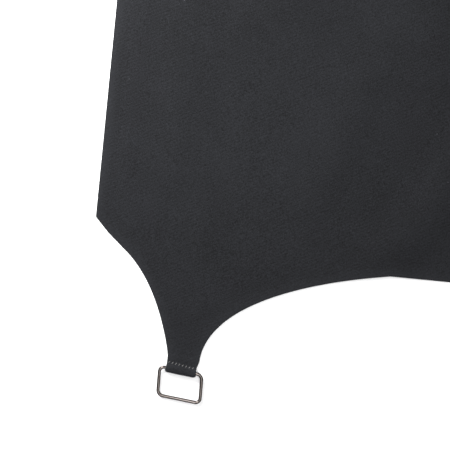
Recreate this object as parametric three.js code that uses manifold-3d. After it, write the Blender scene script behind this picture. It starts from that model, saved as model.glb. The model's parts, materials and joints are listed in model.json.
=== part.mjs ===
// A wrap-around artist's smock apron with crossed back straps, laid out flat with its front side up.
// Units are millimetres. +X runs across the apron, +Y towards the bib's top edge and +Z up off the table.
// While the pieces are drawn, y = 0 is the underarm level. The last lines move the origin under the middle.
// Left and right are as seen from the front: the right wing is on +X.
import * as THREE from "three";
import { mergeVertices } from "three/addons/utils/BufferGeometryUtils.js";
import Module from "manifold-3d";

const wasm = await Module();
wasm.setup();

// Cloth, webbing, wire and clearances.
const CLOTH = 0.8;
const WEBBING = 1.4;
const LABEL_CLOTH = 0.5;
const GAP = 0.3;

// Heights at which a piece lies on the body cloth, and on a pocket.
const ON_CLOTH = CLOTH + GAP;
const ON_POCKET = ON_CLOTH + CLOTH + GAP;

// Body cloth: a skirt that wraps to the back in two wings, and a bib.
const HALF_WIDTH = 560;
const SKIRT_LENGTH = 600;
const BIB_HEIGHT = 270;
const BIB_HALF_WIDTH = 150;
const WING_DROP = 24;
const BEVEL_IN = 24;
const BEVEL_UP = 22;
const UNDERARM_IN = 233;
const ARMHOLE_FOOT = 282;
const HEM_CORNER = 18;

// Wire ring: a bent rectangle, a little out of square, with its butt joint inside the tab's fold.
const STRAP_WIDTH = 30;
const RING_PLAY = 1;
const WIRE_RADIUS = 1.25;
const RING_INNER_WIDTH = STRAP_WIDTH + RING_PLAY;
const RING_INNER_HEIGHT = 20;
const RING_CORNER = 4;
const RING_SKEW = 7;
const RING_BUTT_GAP = 0.4;
const RING_STEPS = 80;

// Tab that each wing narrows to. It is folded round the wire of its ring and stitched.
const TAB_IN = 77.6;
const TAB_RISE = 89;
const TAB_LEAN = 6.1;
const TAB_SIDE_PLAY = 3.9;
const TAB_WIDTH = RING_INNER_WIDTH - 2 * TAB_SIDE_PLAY;
const TAB_BAND = 8;
const FOLD_SLACK = 0.85;
const FOLD_SEAM = 4;
const FOLD_TURN = 10;

// Patch pockets, measured from the centre line and down from the underarm level.
const CHEST_POCKET = { x: 0, top: 205, width: 150, height: 140, corner: 12 };
const HIP_POCKET = { x: 152, top: -120, width: 200, height: 215, corner: 30 };
const BRUSH_POCKET = { inset: 14, width: 76, height: 160, corner: 8 };

// Small sewn-on pieces.
const LABEL = { width: 44, height: 20, corner: 1, inset: 24, drop: 34 };
const LOOP_WIDTH = 25;
const LOOP_LENGTH = 120;
const LOOP_RISE = 10;
const LOOP_FOOT = 16;
const LOOP_OUT = 26;

// Shoulder straps: flat webbing, sewn on at the bib's top corners, crossed above it and left loose.
const STRAP_FOOT_IN = 20;
const STRAP_FOOT_DOWN = 48;
const STRAP_ANGLE = 125;
const STRAP_RISE_LENGTH = 300;
const STRAP_BEND_RADIUS = 160;
const STRAP_END_ANGLE = 250;
const STRAP_END_LENGTH = 260;
const STRAP_RAMP = 24;
const STRAP_CLEAR = 3;
const STRAP_STEPS = 112;

// Slider: a flat frame over the webbing and one bar under it.
const SLIDER_PLATE = 1.2;
const SLIDER_LENGTH = 22;
const SLIDER_BAR = 4;
const SLIDER_RAIL = 3;
const SLIDER_POST = 8;
const SLIDER_CORNER = 3;
const SLIDER_SIDE_GAP = 0.6;
const SLIDER_TRAVEL = 80;

const RAD = Math.PI / 180;
const UP = new THREE.Vector3(0, 0, 1);

// Finishes.
const cloth = new THREE.MeshStandardMaterial({ color: 0x343438, roughness: 0.95, metalness: 0 });
const pocketCloth = new THREE.MeshStandardMaterial({ color: 0x38383c, roughness: 0.95, metalness: 0 });
const webbing = new THREE.MeshStandardMaterial({ color: 0x2c2c2f, roughness: 0.9, metalness: 0 });
const labelCloth = new THREE.MeshStandardMaterial({ color: 0x8a8478, roughness: 0.85, metalness: 0 });
const nickel = new THREE.MeshStandardMaterial({ color: 0x8f8a84, roughness: 0.25, metalness: 1 });

// A closed geometry as a manifold-3d solid.
function solid(geometry) {
  const bare = geometry.index ? geometry.toNonIndexed() : geometry.clone();
  bare.deleteAttribute("normal");
  bare.deleteAttribute("uv");
  const merged = mergeVertices(bare, 1e-4);
  const vertProperties = new Float32Array(merged.attributes.position.array);
  const triVerts = new Uint32Array(merged.index.array);
  return new wasm.Manifold(new wasm.Mesh({ numProp: 3, vertProperties, triVerts }));
}

// Several closed geometries joined into one.
function joined(geometries) {
  const whole = geometries.map(solid).reduce((sum, next) => sum.add(next));
  const mesh = whole.getMesh();
  const geometry = new THREE.BufferGeometry();
  const position = new THREE.BufferAttribute(new Float32Array(mesh.vertProperties), 3);
  geometry.setAttribute("position", position);
  geometry.setIndex(new THREE.BufferAttribute(new Uint32Array(mesh.triVerts), 1));
  geometry.computeVertexNormals();
  return geometry;
}

// A flat shape turned into a sheet from height z to z + thickness.
function sheet(shape, z, thickness) {
  const options = { depth: thickness, bevelEnabled: false, curveSegments: 8 };
  return new THREE.ExtrudeGeometry(shape, options).translate(0, 0, z);
}

// A rectangle about (x, y) with rounded corners.
function roundedRect(x, y, width, height, radius, Type = THREE.Shape) {
  const left = x - width / 2;
  const right = x + width / 2;
  const bottom = y - height / 2;
  const top = y + height / 2;
  const shape = new Type();
  shape.moveTo(left + radius, bottom);
  shape.lineTo(right - radius, bottom);
  shape.absarc(right - radius, bottom + radius, radius, -Math.PI / 2, 0);
  shape.lineTo(right, top - radius);
  shape.absarc(right - radius, top - radius, radius, 0, Math.PI / 2);
  shape.lineTo(left + radius, top);
  shape.absarc(left + radius, top - radius, radius, Math.PI / 2, Math.PI);
  shape.lineTo(left, bottom + radius);
  shape.absarc(left + radius, bottom + radius, radius, Math.PI, 1.5 * Math.PI);
  return shape;
}

// A pocket's outline: square top corners and rounded bottom ones.
function pocketShape({ x, top, width, height, corner }) {
  const left = x - width / 2;
  const right = x + width / 2;
  const bottom = top - height;
  const shape = new THREE.Shape();
  shape.moveTo(left, top);
  shape.lineTo(left, bottom + corner);
  shape.absarc(left + corner, bottom + corner, corner, Math.PI, 1.5 * Math.PI);
  shape.lineTo(right - corner, bottom);
  shape.absarc(right - corner, bottom + corner, corner, -Math.PI / 2, 0);
  shape.lineTo(right, top);
  return shape;
}

// The tab's frame on the right wing: the wire's middle, the way the tab points and the wire's direction.
const lean = TAB_LEAN * RAD;
const tabWire = new THREE.Vector3(HALF_WIDTH - TAB_IN, TAB_RISE, ON_CLOTH + WIRE_RADIUS);
const tabAxis = new THREE.Vector3(Math.sin(lean), Math.cos(lean), 0);
const wireAxis = new THREE.Vector3().crossVectors(tabAxis, UP);

// A point of the tab in plan: along its axis from the wire, and across it towards the wing's outer edge.
function tabPoint(along, across) {
  return tabWire.clone().addScaledVector(tabAxis, along).addScaledVector(wireAxis, across);
}

// A cubic to (x, y) whose handles are shares of the span: the first from its start, the second from its end.
function curveTo(path, x, y, startShare, endShare) {
  const from = path.currentPoint.clone();
  const dx = x - from.x;
  const dy = y - from.y;
  path.bezierCurveTo(
    from.x + startShare[0] * dx,
    from.y + startShare[1] * dy,
    x - endShare[0] * dx,
    y - endShare[1] * dy,
    x,
    y,
  );
}

// The right half of the body's outline, from the middle of the hem round to the middle of the bib's top.
function halfOutline() {
  const outer = tabPoint(-TAB_BAND, TAB_WIDTH / 2);
  const inner = tabPoint(-TAB_BAND, -TAB_WIDTH / 2);
  const underarm = HALF_WIDTH - UNDERARM_IN;
  const path = new THREE.Path();
  path.moveTo(0, -SKIRT_LENGTH);
  path.lineTo(HALF_WIDTH - HEM_CORNER, -SKIRT_LENGTH);
  path.absarc(HALF_WIDTH - HEM_CORNER, -SKIRT_LENGTH + HEM_CORNER, HEM_CORNER, -Math.PI / 2, 0);
  path.lineTo(HALF_WIDTH, -WING_DROP);
  path.lineTo(HALF_WIDTH - BEVEL_IN, BEVEL_UP - WING_DROP);
  curveTo(path, outer.x, outer.y, [0.55, 0.23], [0.13, 0.33]);
  path.lineTo(inner.x, inner.y);
  curveTo(path, underarm, 0, [0.02, 0.59], [0.44, 0.11]);
  path.lineTo(ARMHOLE_FOOT, 0);
  curveTo(path, BIB_HALF_WIDTH, BIB_HEIGHT, [0.5, 0], [0.16, 0.6]);
  path.lineTo(0, BIB_HEIGHT);
  return path.getPoints(14);
}

// The folded end of the right tab: the cloth comes up round the wire and back down onto itself.
function tabFold() {
  const middle = tabWire.z;
  const outerRadius = WIRE_RADIUS + GAP + CLOTH;
  const innerRadius = WIRE_RADIUS + GAP;
  const profile = new THREE.Shape();
  profile.moveTo(-FOLD_TURN, 0);
  profile.lineTo(FOLD_SLACK, 0);
  profile.absarc(FOLD_SLACK, middle, outerRadius, -Math.PI / 2, Math.PI / 2);
  profile.lineTo(-FOLD_SLACK - GAP, middle + outerRadius);
  profile.lineTo(-FOLD_SEAM, 2 * CLOTH);
  profile.lineTo(-FOLD_TURN, 2 * CLOTH);
  const eye = new THREE.Path();
  eye.moveTo(CLOTH - FOLD_SEAM, CLOTH);
  eye.lineTo(FOLD_SLACK, CLOTH);
  eye.absarc(FOLD_SLACK, middle, innerRadius, -Math.PI / 2, Math.PI / 2);
  eye.lineTo(-FOLD_SLACK, middle + innerRadius);
  profile.holes.push(eye);
  const options = { depth: TAB_WIDTH, bevelEnabled: false, curveSegments: 10 };
  const fold = new THREE.ExtrudeGeometry(profile, options);
  const place = new THREE.Matrix4().makeBasis(tabAxis, UP, wireAxis);
  const start = tabWire.clone().addScaledVector(wireAxis, -TAB_WIDTH / 2).setZ(0);
  return fold.applyMatrix4(place.setPosition(start));
}

// The body cloth, with both tabs folded.
function bodyPanel() {
  const half = halfOutline();
  const other = half
    .slice(1, -1)
    .reverse()
    .map((p) => new THREE.Vector2(-p.x, p.y));
  const panel = sheet(new THREE.Shape([...half, ...other]), 0, CLOTH);
  const rightFold = tabFold();
  const leftFold = mirrored(tabFold());
  return joined([panel, rightFold, leftFold]);
}

// A geometry reflected in the apron's centre line, with its faces turned back outwards.
function mirrored(geometry) {
  const flipped = geometry.index ? geometry.toNonIndexed() : geometry.clone();
  flipped.scale(-1, 1, 1);
  const array = flipped.attributes.position.array;
  for (let i = 0; i < array.length; i += 9)
    for (let k = 0; k < 3; k++) [array[i + k], array[i + 3 + k]] = [array[i + 3 + k], array[i + k]];
  flipped.deleteAttribute("normal");
  flipped.computeVertexNormals();
  return flipped;
}

// The right ring. Its near bar lies in the tab's fold and its far bar rests on the table.
function wireRing() {
  const width = RING_INNER_WIDTH + 2 * WIRE_RADIUS;
  const height = RING_INNER_HEIGHT + 2 * WIRE_RADIUS;
  const drop = tabWire.z - WIRE_RADIUS;
  const reach = Math.sqrt(height * height - drop * drop);
  const far = new THREE.Vector3().addScaledVector(tabAxis, reach).addScaledVector(UP, -drop);
  far.addScaledVector(wireAxis, -height * Math.tan(RING_SKEW * RAD));
  const side = wireAxis.clone().multiplyScalar(width / 2);
  const middle = tabWire;
  const corners = [
    middle.clone().add(side),
    middle.clone().add(side).add(far),
    middle.clone().sub(side).add(far),
    middle.clone().sub(side),
  ];
  const path = new THREE.CurvePath();
  let last = middle.clone().addScaledVector(wireAxis, RING_BUTT_GAP / 2);
  const end = middle.clone().addScaledVector(wireAxis, -RING_BUTT_GAP / 2);
  corners.forEach((corner, i) => {
    const before = i ? corners[i - 1] : last;
    const after = i < 3 ? corners[i + 1] : end;
    const entry = corner.clone().addScaledVector(before.clone().sub(corner).normalize(), RING_CORNER);
    const exit = corner.clone().addScaledVector(after.clone().sub(corner).normalize(), RING_CORNER);
    path.add(new THREE.LineCurve3(last, entry));
    path.add(new THREE.QuadraticBezierCurve3(entry, corner, exit));
    last = exit;
  });
  path.add(new THREE.LineCurve3(last, end));
  const section = new THREE.Shape().absarc(0, 0, WIRE_RADIUS, 0, 2 * Math.PI);
  return new THREE.ExtrudeGeometry(section, { steps: RING_STEPS, curveSegments: 6, extrudePath: path });
}

// The plan of the right strap: straight up across the centre line, round a bend, and straight down.
// Everything below is measured as a distance along the strap from its sewn end.
const strapFoot = new THREE.Vector2(BIB_HALF_WIDTH - STRAP_FOOT_IN, BIB_HEIGHT - STRAP_FOOT_DOWN);
const bendTurn = (STRAP_END_ANGLE - STRAP_ANGLE) * RAD;
const bendStart = STRAP_RISE_LENGTH;
const bendEnd = bendStart + STRAP_BEND_RADIUS * bendTurn;
const strapLength = bendEnd + STRAP_END_LENGTH;
const slideMiddle = bendEnd + STRAP_END_LENGTH / 2;

// The unit vector at an angle from +X, in degrees.
function heading(degrees) {
  return new THREE.Vector2(Math.cos(degrees * RAD), Math.sin(degrees * RAD));
}

function strapPlan(s) {
  const riseEnd = strapFoot.clone().addScaledVector(heading(STRAP_ANGLE), Math.min(s, bendStart));
  if (s <= bendStart) return riseEnd;
  const centre = riseEnd.clone().addScaledVector(heading(STRAP_ANGLE + 90), STRAP_BEND_RADIUS);
  const turned = STRAP_ANGLE + Math.min(s - bendStart, bendEnd - bendStart) / STRAP_BEND_RADIUS / RAD;
  const onBend = centre.addScaledVector(heading(turned - 90), STRAP_BEND_RADIUS);
  return onBend.addScaledVector(heading(STRAP_END_ANGLE), Math.max(s - bendEnd, 0));
}

// 1 within half of the middle, sloping to 0 over one ramp on each side.
function plateau(s, middle, half) {
  return THREE.MathUtils.smoothstep(half + STRAP_RAMP - Math.abs(s - middle), 0, STRAP_RAMP);
}

// How far the strap is lifted off the table: on the bib, over the other strap, and where its slider runs.
const strapSlant = (180 - STRAP_ANGLE) * RAD;
const halfStrap = STRAP_WIDTH / 2;
const bibEdge = STRAP_FOOT_DOWN / Math.sin(strapSlant) + halfStrap / Math.tan(strapSlant) + STRAP_CLEAR;
const crossing = strapFoot.x / Math.cos(strapSlant);
const crossAngle = Math.PI - 2 * strapSlant;
const crossHalf = (halfStrap * (1 + Math.cos(crossAngle))) / Math.sin(crossAngle) + STRAP_CLEAR;
const slideHalf = SLIDER_TRAVEL + SLIDER_LENGTH / 2 + STRAP_CLEAR;

function strapLift(s, over) {
  const onBib = ON_CLOTH * plateau(s, 0, bibEdge);
  const onStrap = over ? (WEBBING + GAP) * plateau(s, crossing, crossHalf) : 0;
  const onSlider = (SLIDER_PLATE + GAP) * plateau(s, slideMiddle, slideHalf);
  return onBib + onStrap + onSlider;
}

// The middle line of the right strap; over says that it passes over the other strap.
class StrapLine extends THREE.Curve {
  constructor(over) {
    super();
    this.over = over;
  }

  getPoint(t, target = new THREE.Vector3()) {
    const s = t * strapLength;
    const plan = strapPlan(s);
    return target.set(plan.x, plan.y, WEBBING / 2 + strapLift(s, this.over));
  }
}

function strap(over) {
  const section = roundedRect(0, 0, WEBBING, STRAP_WIDTH, WEBBING / 4);
  const options = { steps: STRAP_STEPS, curveSegments: 1, extrudePath: new StrapLine(over) };
  return new THREE.ExtrudeGeometry(section, options);
}

// The right slider: a frame above the strap, and a bar below it that two posts carry.
function slider() {
  const opening = STRAP_WIDTH + 2 * SLIDER_SIDE_GAP;
  const width = opening + 2 * SLIDER_RAIL;
  const frameZ = SLIDER_PLATE + GAP + WEBBING + GAP;
  const outline = roundedRect(0, 0, SLIDER_LENGTH, width, SLIDER_CORNER);
  const inside = SLIDER_LENGTH - 2 * SLIDER_BAR;
  const hole = roundedRect(0, 0, inside, opening, SLIDER_CORNER / 2, THREE.Path);
  outline.holes.push(hole);
  const pieces = [sheet(outline, frameZ, SLIDER_PLATE)];
  pieces.push(new THREE.BoxGeometry(SLIDER_BAR, width, SLIDER_PLATE).translate(0, 0, SLIDER_PLATE / 2));
  const postHeight = frameZ + SLIDER_PLATE / 2;
  for (const side of [-1, 1]) {
    const post = new THREE.BoxGeometry(SLIDER_POST, SLIDER_RAIL, postHeight);
    pieces.push(post.translate(0, (side * (opening + SLIDER_RAIL)) / 2, postHeight / 2));
  }
  const place = new THREE.Matrix4().makeRotationZ(STRAP_END_ANGLE * RAD);
  const middle = strapPlan(slideMiddle);
  return joined(pieces).applyMatrix4(place.setPosition(middle.x, middle.y, 0));
}

// A towel loop: a strip of webbing that arches between two sewn feet.
function towelLoop() {
  const half = LOOP_LENGTH / 2;
  const foot = half - LOOP_FOOT;
  const arch = new THREE.Path();
  arch.moveTo(-half, 0);
  arch.lineTo(-foot, 0);
  arch.bezierCurveTo(-foot / 2, 0, -foot / 2, LOOP_RISE, 0, LOOP_RISE);
  arch.bezierCurveTo(foot / 2, LOOP_RISE, foot / 2, 0, foot, 0);
  arch.lineTo(half, 0);
  const lower = arch.getPoints(10);
  const upper = lower.map((p) => new THREE.Vector2(p.x, p.y + WEBBING)).reverse();
  const options = { depth: LOOP_WIDTH, bevelEnabled: false };
  const strip = new THREE.ExtrudeGeometry(new THREE.Shape([...lower, ...upper]), options);
  const place = new THREE.Matrix4().makeBasis(new THREE.Vector3(0, 1, 0), UP, new THREE.Vector3(1, 0, 0));
  const x = -(HIP_POCKET.x + HIP_POCKET.width / 2 + LOOP_OUT + LOOP_WIDTH / 2);
  return strip.applyMatrix4(place.setPosition(x, HIP_POCKET.top - half, ON_CLOTH));
}

// The pieces, each as a named mesh.
const apron = new THREE.Group();

function add(name, geometry, material) {
  const mesh = new THREE.Mesh(geometry, material.clone());
  mesh.name = name;
  apron.add(mesh);
}

const hipLeft = { ...HIP_POCKET, x: -HIP_POCKET.x };
const hipRightEdge = HIP_POCKET.x + HIP_POCKET.width / 2;
const brushPocket = {
  ...BRUSH_POCKET,
  x: hipRightEdge - BRUSH_POCKET.inset - BRUSH_POCKET.width / 2,
  top: HIP_POCKET.top - HIP_POCKET.height + BRUSH_POCKET.inset + BRUSH_POCKET.height,
};
const labelX = hipLeft.x - HIP_POCKET.width / 2 + LABEL.inset + LABEL.width / 2;
const labelY = HIP_POCKET.top - LABEL.drop;
const labelShape = roundedRect(labelX, labelY, LABEL.width, LABEL.height, LABEL.corner);

add("body_panel", bodyPanel(), cloth);
add("chest_pocket", sheet(pocketShape(CHEST_POCKET), ON_CLOTH, CLOTH), pocketCloth);
add("hip_pocket_left", sheet(pocketShape(hipLeft), ON_CLOTH, CLOTH), pocketCloth);
add("hip_pocket_right", sheet(pocketShape(HIP_POCKET), ON_CLOTH, CLOTH), pocketCloth);
add("brush_pocket", sheet(pocketShape(brushPocket), ON_POCKET, CLOTH), pocketCloth);
add("towel_loop", towelLoop(), webbing);
add("label_patch", sheet(labelShape, ON_POCKET, LABEL_CLOTH), labelCloth);
add("strap_right", strap(false), webbing);
add("strap_left", mirrored(strap(true)), webbing);
add("slider_right", slider(), nickel);
add("slider_left", mirrored(slider()), nickel);
add("ring_right", wireRing(), nickel);
add("ring_left", mirrored(wireRing()), nickel);

// The origin lies on the table under the middle of the whole.
const reach = new THREE.Box3().setFromObject(apron, true);
const middle = reach.getCenter(new THREE.Vector3());
apron.position.set(-middle.x, -middle.y, -reach.min.z);
const smock = new THREE.Group();
smock.add(apron);

export default smock;
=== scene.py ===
import json
import math
import bmesh
import bpy
import numpy as np
from mathutils import Matrix, Vector, geometry, noise


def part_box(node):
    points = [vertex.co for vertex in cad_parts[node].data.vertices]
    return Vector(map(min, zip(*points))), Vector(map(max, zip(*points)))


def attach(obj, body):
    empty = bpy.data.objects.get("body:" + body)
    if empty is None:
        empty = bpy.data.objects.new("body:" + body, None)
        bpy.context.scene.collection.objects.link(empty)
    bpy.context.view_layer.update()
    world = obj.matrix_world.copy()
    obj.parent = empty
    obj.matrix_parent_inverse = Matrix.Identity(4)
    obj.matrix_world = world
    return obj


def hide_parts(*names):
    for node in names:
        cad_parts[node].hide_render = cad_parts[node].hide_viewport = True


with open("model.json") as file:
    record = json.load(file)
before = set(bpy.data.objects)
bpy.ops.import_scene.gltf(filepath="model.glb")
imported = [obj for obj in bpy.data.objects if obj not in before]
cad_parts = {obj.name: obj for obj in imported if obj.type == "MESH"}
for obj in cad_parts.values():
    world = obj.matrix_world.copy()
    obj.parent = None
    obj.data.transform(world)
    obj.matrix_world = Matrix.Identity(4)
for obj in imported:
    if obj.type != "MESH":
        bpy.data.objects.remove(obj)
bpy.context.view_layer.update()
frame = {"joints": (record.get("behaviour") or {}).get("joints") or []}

# ---- Camera ----
# It looks straight down on the right back wing, with the tab's ring low in view.
# The hem is towards the top of the view, because the garment lies with its bib towards the viewer.

MM = 0.001
joints = {joint["name"]: joint for joint in frame["joints"]}
ring_hinge = Vector(joints["ring_right_swing"]["pos_m"])
view_turn = math.radians(5.56)
view_width = 351 * MM
view_middle = Vector((ring_hinge.x - 23.2 * MM, ring_hinge.y - 116.4 * MM, 0))
lens, sensor = 100.0, 36.0
camera_height = view_width * lens / sensor

camera = bpy.data.objects.new("camera", bpy.data.cameras.new("camera"))
camera.data.lens = lens
camera.data.sensor_width = sensor
camera.data.clip_end = 20
view_right = Vector((-math.cos(view_turn), -math.sin(view_turn), 0))
view_up = Vector((math.sin(view_turn), -math.cos(view_turn), 0))
turn = Matrix((view_right, view_up, (0, 0, 1))).transposed().to_4x4()
camera.matrix_world = Matrix.Translation(view_middle + Vector((0, 0, camera_height))) @ turn
bpy.context.scene.collection.objects.link(camera)
bpy.context.scene.camera = camera

# ---- Table and studio light ----
# A plain white table top, lit evenly by a scrim and a strip overhead, with a small softbox off the hem's
# right corner.
# The room beyond is darker towards the horizon, so polished metal shows a bright middle and dark flanks.


def linear(hex_colour):
    """A linear RGBA colour from an sRGB hex value."""
    channels = [int(hex_colour[i : i + 2], 16) / 255 for i in (1, 3, 5)]
    return [c / 12.92 if c <= 0.04045 else ((c + 0.055) / 1.055) ** 2.4 for c in channels] + [1]


def feed(tree, node, inputs):
    """Sets or links node's sockets. A node given as an input stands for its first output."""
    for socket, value in inputs.items():
        if isinstance(value, bpy.types.Node):
            value = value.outputs[0]
        if isinstance(value, bpy.types.NodeSocket):
            tree.links.new(value, node.inputs[socket])
        else:
            node.inputs[socket].default_value = value


def add_node(tree, kind, inputs=None, **settings):
    """Adds a shader node of this kind to tree, with its settings and its inputs."""
    made = tree.nodes.new("ShaderNode" + kind)
    for setting, value in settings.items():
        setattr(made, setting, value)
    feed(tree, made, inputs or {})
    return made


def new_material(name):
    """A material with its node tree and its Principled shader."""
    material = bpy.data.materials.new(name)
    material.use_nodes = True
    return material, material.node_tree, material.node_tree.nodes["Principled BSDF"]


def link_object(name, mesh, material):
    made = bpy.data.objects.new(name, mesh)
    made.data.materials.append(material)
    bpy.context.scene.collection.objects.link(made)
    return made


TABLE_SIDE = 60.0
table_mesh = bpy.data.meshes.new("table_top")
sheet_bm = bmesh.new()
bmesh.ops.create_grid(sheet_bm, x_segments=1, y_segments=1, size=TABLE_SIDE / 2)
bmesh.ops.translate(sheet_bm, verts=sheet_bm.verts, vec=(0, 0, -0.2 * MM))
sheet_bm.to_mesh(table_mesh)
sheet_bm.free()
# White laminate is matt, with a mottle too fine to see one by one, so the table is plain and pale.
laminate, tree, shader = new_material("white_laminate")
grain = add_node(tree, "TexNoise", {"Scale": 900.0})
mottle = add_node(tree, "MapRange", {"Value": grain.outputs["Fac"], "To Min": 0.9, "To Max": 0.92})
feed(tree, shader, {"Base Color": mottle.outputs["Result"], "Roughness": 0.75})
link_object("table_top", table_mesh, laminate)


def softbox(name, place, aim, sides, watts):
    light = bpy.data.lights.new(name, "AREA")
    light.shape = "RECTANGLE"
    light.size, light.size_y = sides
    light.energy = watts
    box = bpy.data.objects.new(name, light)
    box.location = place
    box.rotation_euler = (Vector(aim) - Vector(place)).to_track_quat("-Z", "Y").to_euler()
    box.visible_camera = False
    bpy.context.scene.collection.objects.link(box)


softbox("corner_softbox", (0.86, -0.43, 0.34), (0.5, -0.08, 0), (0.26, 0.26), 11)
softbox("overhead_strip", (0.38, 0.1, 2.0), (0.38, 0.1, 0), (0.3, 2.4), 23)
ceiling = bpy.data.objects.new("ceiling_scrim", bpy.data.lights.new("ceiling_scrim", "SUN"))
ceiling.data.energy = 1.5
ceiling.data.angle = math.radians(66)
ceiling.rotation_euler = (0, math.radians(-16), 0)
bpy.context.scene.collection.objects.link(ceiling)

world = bpy.data.worlds.new("studio_room")
world.use_nodes = True
bpy.context.scene.world = world
tree = world.node_tree
sky = add_node(tree, "TexCoord")
height = add_node(tree, "SeparateXYZ", {0: sky.outputs["Generated"]})
dome = add_node(tree, "ValToRGB", {"Fac": height.outputs["Z"]})
dome.color_ramp.elements[0].position = 0.2
dome.color_ramp.elements[0].color = (0.03, 0.028, 0.027, 1)
dome.color_ramp.elements[1].position = 0.98
dome.color_ramp.elements[1].color = (0.14, 0.14, 0.15, 1)
tree.links.new(dome.outputs["Color"], tree.nodes["Background"].inputs["Color"])
bpy.context.scene.view_settings.view_transform = "Standard"

# ---- Body cloth ----
# One piece of charcoal cotton twill, about 0.8 mm thick: the skirt, its two back wings and the bib.
# Each wing narrows to a tab. The tab's end goes over the ring's wire, back underneath, and is stitched down.

UNDERARM_Y = ring_hinge.y - 89 * MM
CLOTH = 0.8 * MM
wing_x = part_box("body_panel")[1].x
hem_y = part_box("body_panel")[0].y
bib_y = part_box("body_panel")[1].y
bib_x = 150 * MM
tab_lean = math.radians(6.1)
tab_axis = Vector((math.sin(tab_lean), math.cos(tab_lean), 0))
wire_axis = Vector((math.cos(tab_lean), -math.sin(tab_lean), 0))
TAB_WIDTH = 23.2 * MM

# Soft folds left in the cloth as it lies: from one point to another, width and height, in millimetres.
SOFT_FOLDS = (
    ((336, 24), (262, -92), 19, 3.8),
    ((392, -30), (352, -150), 15, 1.5),
    ((486, -190), (476, 20), 4.5, 0.5),
    ((470, 64), (492, 74), 4.0, 0.8),
    ((547, -430), (545, -30), 13, 1.3),
    ((515, -520), (503, -40), 17, 1.5),
    ((455, -560), (425, -190), 34, 4.2),
    ((345, -570), (312, -150), 30, 3.4),
    ((210, -575), (176, -370), 36, 5.0),
    ((40, -575), (18, -120), 40, 4.6),
    ((-95, -575), (-60, -350), 32, 4.4),
    ((-330, -575), (-288, -250), 34, 4.8),
    ((-452, -560), (-405, -110), 30, 4.0),
    ((-340, 18), (-276, -110), 22, 2.8),
    ((-538, -520), (-532, -60), 15, 1.6),
    ((125, 60), (70, -60), 30, 2.2),
    ((-118, 90), (-92, -80), 28, 2.4),
    ((0, 268), (-8, 235), 40, 0.6),
)
# Where the cloth is held flat: the tabs and the sewn ends of the straps.
HELD = ((482, 113.5, 30), (-482, 113.5, 30), (130, 258, 60), (-130, 258, 60))


def drape(x, y):
    """How far the body cloth is lifted off the table at (x, y), in metres."""
    px, py = x / MM, y / MM
    lift = 0.0
    for (ax, ay), (bx, by), width, height in SOFT_FOLDS:
        dx, dy = bx - ax, by - ay
        share = min(max(((px - ax) * dx + (py - ay) * dy) / (dx * dx + dy * dy), 0), 1)
        away = math.hypot(px - ax - share * dx, py - ay - share * dy) / width
        if away < 3:
            lift += height * math.exp(-away * away)
    lift += 0.55 * (1 + noise.noise((px / 60, py / 85, 0.3)))
    for hx, hy, reach in HELD:
        lift *= 1 - math.exp(-((math.hypot(px - hx, py - hy) / reach) ** 4))
    return lift * MM


def bezier(points, start_share, end_share, end, count):
    """Adds a cubic to points, ending at end. Its handles are shares of its span, from each end."""
    start = points[-1]
    span = end - start
    first = start + Vector((start_share[0] * span.x, start_share[1] * span.y))
    last = end - Vector((end_share[0] * span.x, end_share[1] * span.y))
    points.extend(v.to_2d() for v in geometry.interpolate_bezier(start, first, last, end, count)[1:])


def straight(points, end, step):
    start = points[-1]
    count = max(1, round((end - start).length / step))
    points.extend(start.lerp(end, i / count) for i in range(1, count + 1))


def turned_corner(points, centre, radius, start_angle, turn, count):
    """Adds a round corner to points."""
    for i in range(count + 1):
        angle = math.radians(start_angle + turn * i / count)
        points.append(centre + radius * Vector((math.cos(angle), math.sin(angle))))


# The way the tab's cloth goes round the wire: (distance along the tab from the wire, height) in millimetres.
# It climbs over the layer that comes back underneath, up over the wire, round it, and back along the table.
FOLD_WAY = [(-24, 0.4), (-17, 0.42), (-12.5, 0.75), (-9.5, 1.2), (-6.5, 1.32), (-4.6, 1.3), (-3.2, 1.95)]
FOLD_WAY.append((-1.9, 3.5))
for turned in range(-30, 181, 15):
    angle = math.radians(turned)
    FOLD_WAY.append((0.85 + 1.95 * math.sin(angle), 2.35 + 1.95 * math.cos(angle)))
FOLD_WAY += [(-1, 0.4), (-3, 0.4), (-6, 0.4), (-10, 0.4)]
fold_way = [Vector((along * MM, height * MM)) for along, height in FOLD_WAY]
fold_reach = [0.0]
for before, after in zip(fold_way, fold_way[1:]):
    fold_reach.append(fold_reach[-1] + (after - before).length)
fold_start = fold_way[0].x
tab_end = fold_start + fold_reach[-1]


def along_fold(cut):
    """(distance along the tab, height) of the tab's cloth, cut metres past the wire in the flat pattern."""
    reach = cut - fold_start
    if reach <= 0:
        return cut, fold_way[0].y
    for i, end in enumerate(fold_reach[1:]):
        if reach <= end:
            span = end - fold_reach[i]
            s = (reach - fold_reach[i]) / span
            p, q = fold_way[i], fold_way[i + 1]
            lean_in = (q - fold_way[max(i - 1, 0)]).normalized() * span
            lean_out = (fold_way[min(i + 2, len(fold_way) - 1)] - p).normalized() * span
            way = (2 * s**3 - 3 * s**2 + 1) * p + (s**3 - 2 * s**2 + s) * lean_in
            way += (3 * s**2 - 2 * s**3) * q + (s**3 - s**2) * lean_out
            return way.x, way.y
    return fold_way[-1].x, fold_way[-1].y


def tab_point(along, across):
    """A point of the right tab in the flat pattern."""
    return (ring_hinge + tab_axis * along + wire_axis * across).to_2d()


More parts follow.
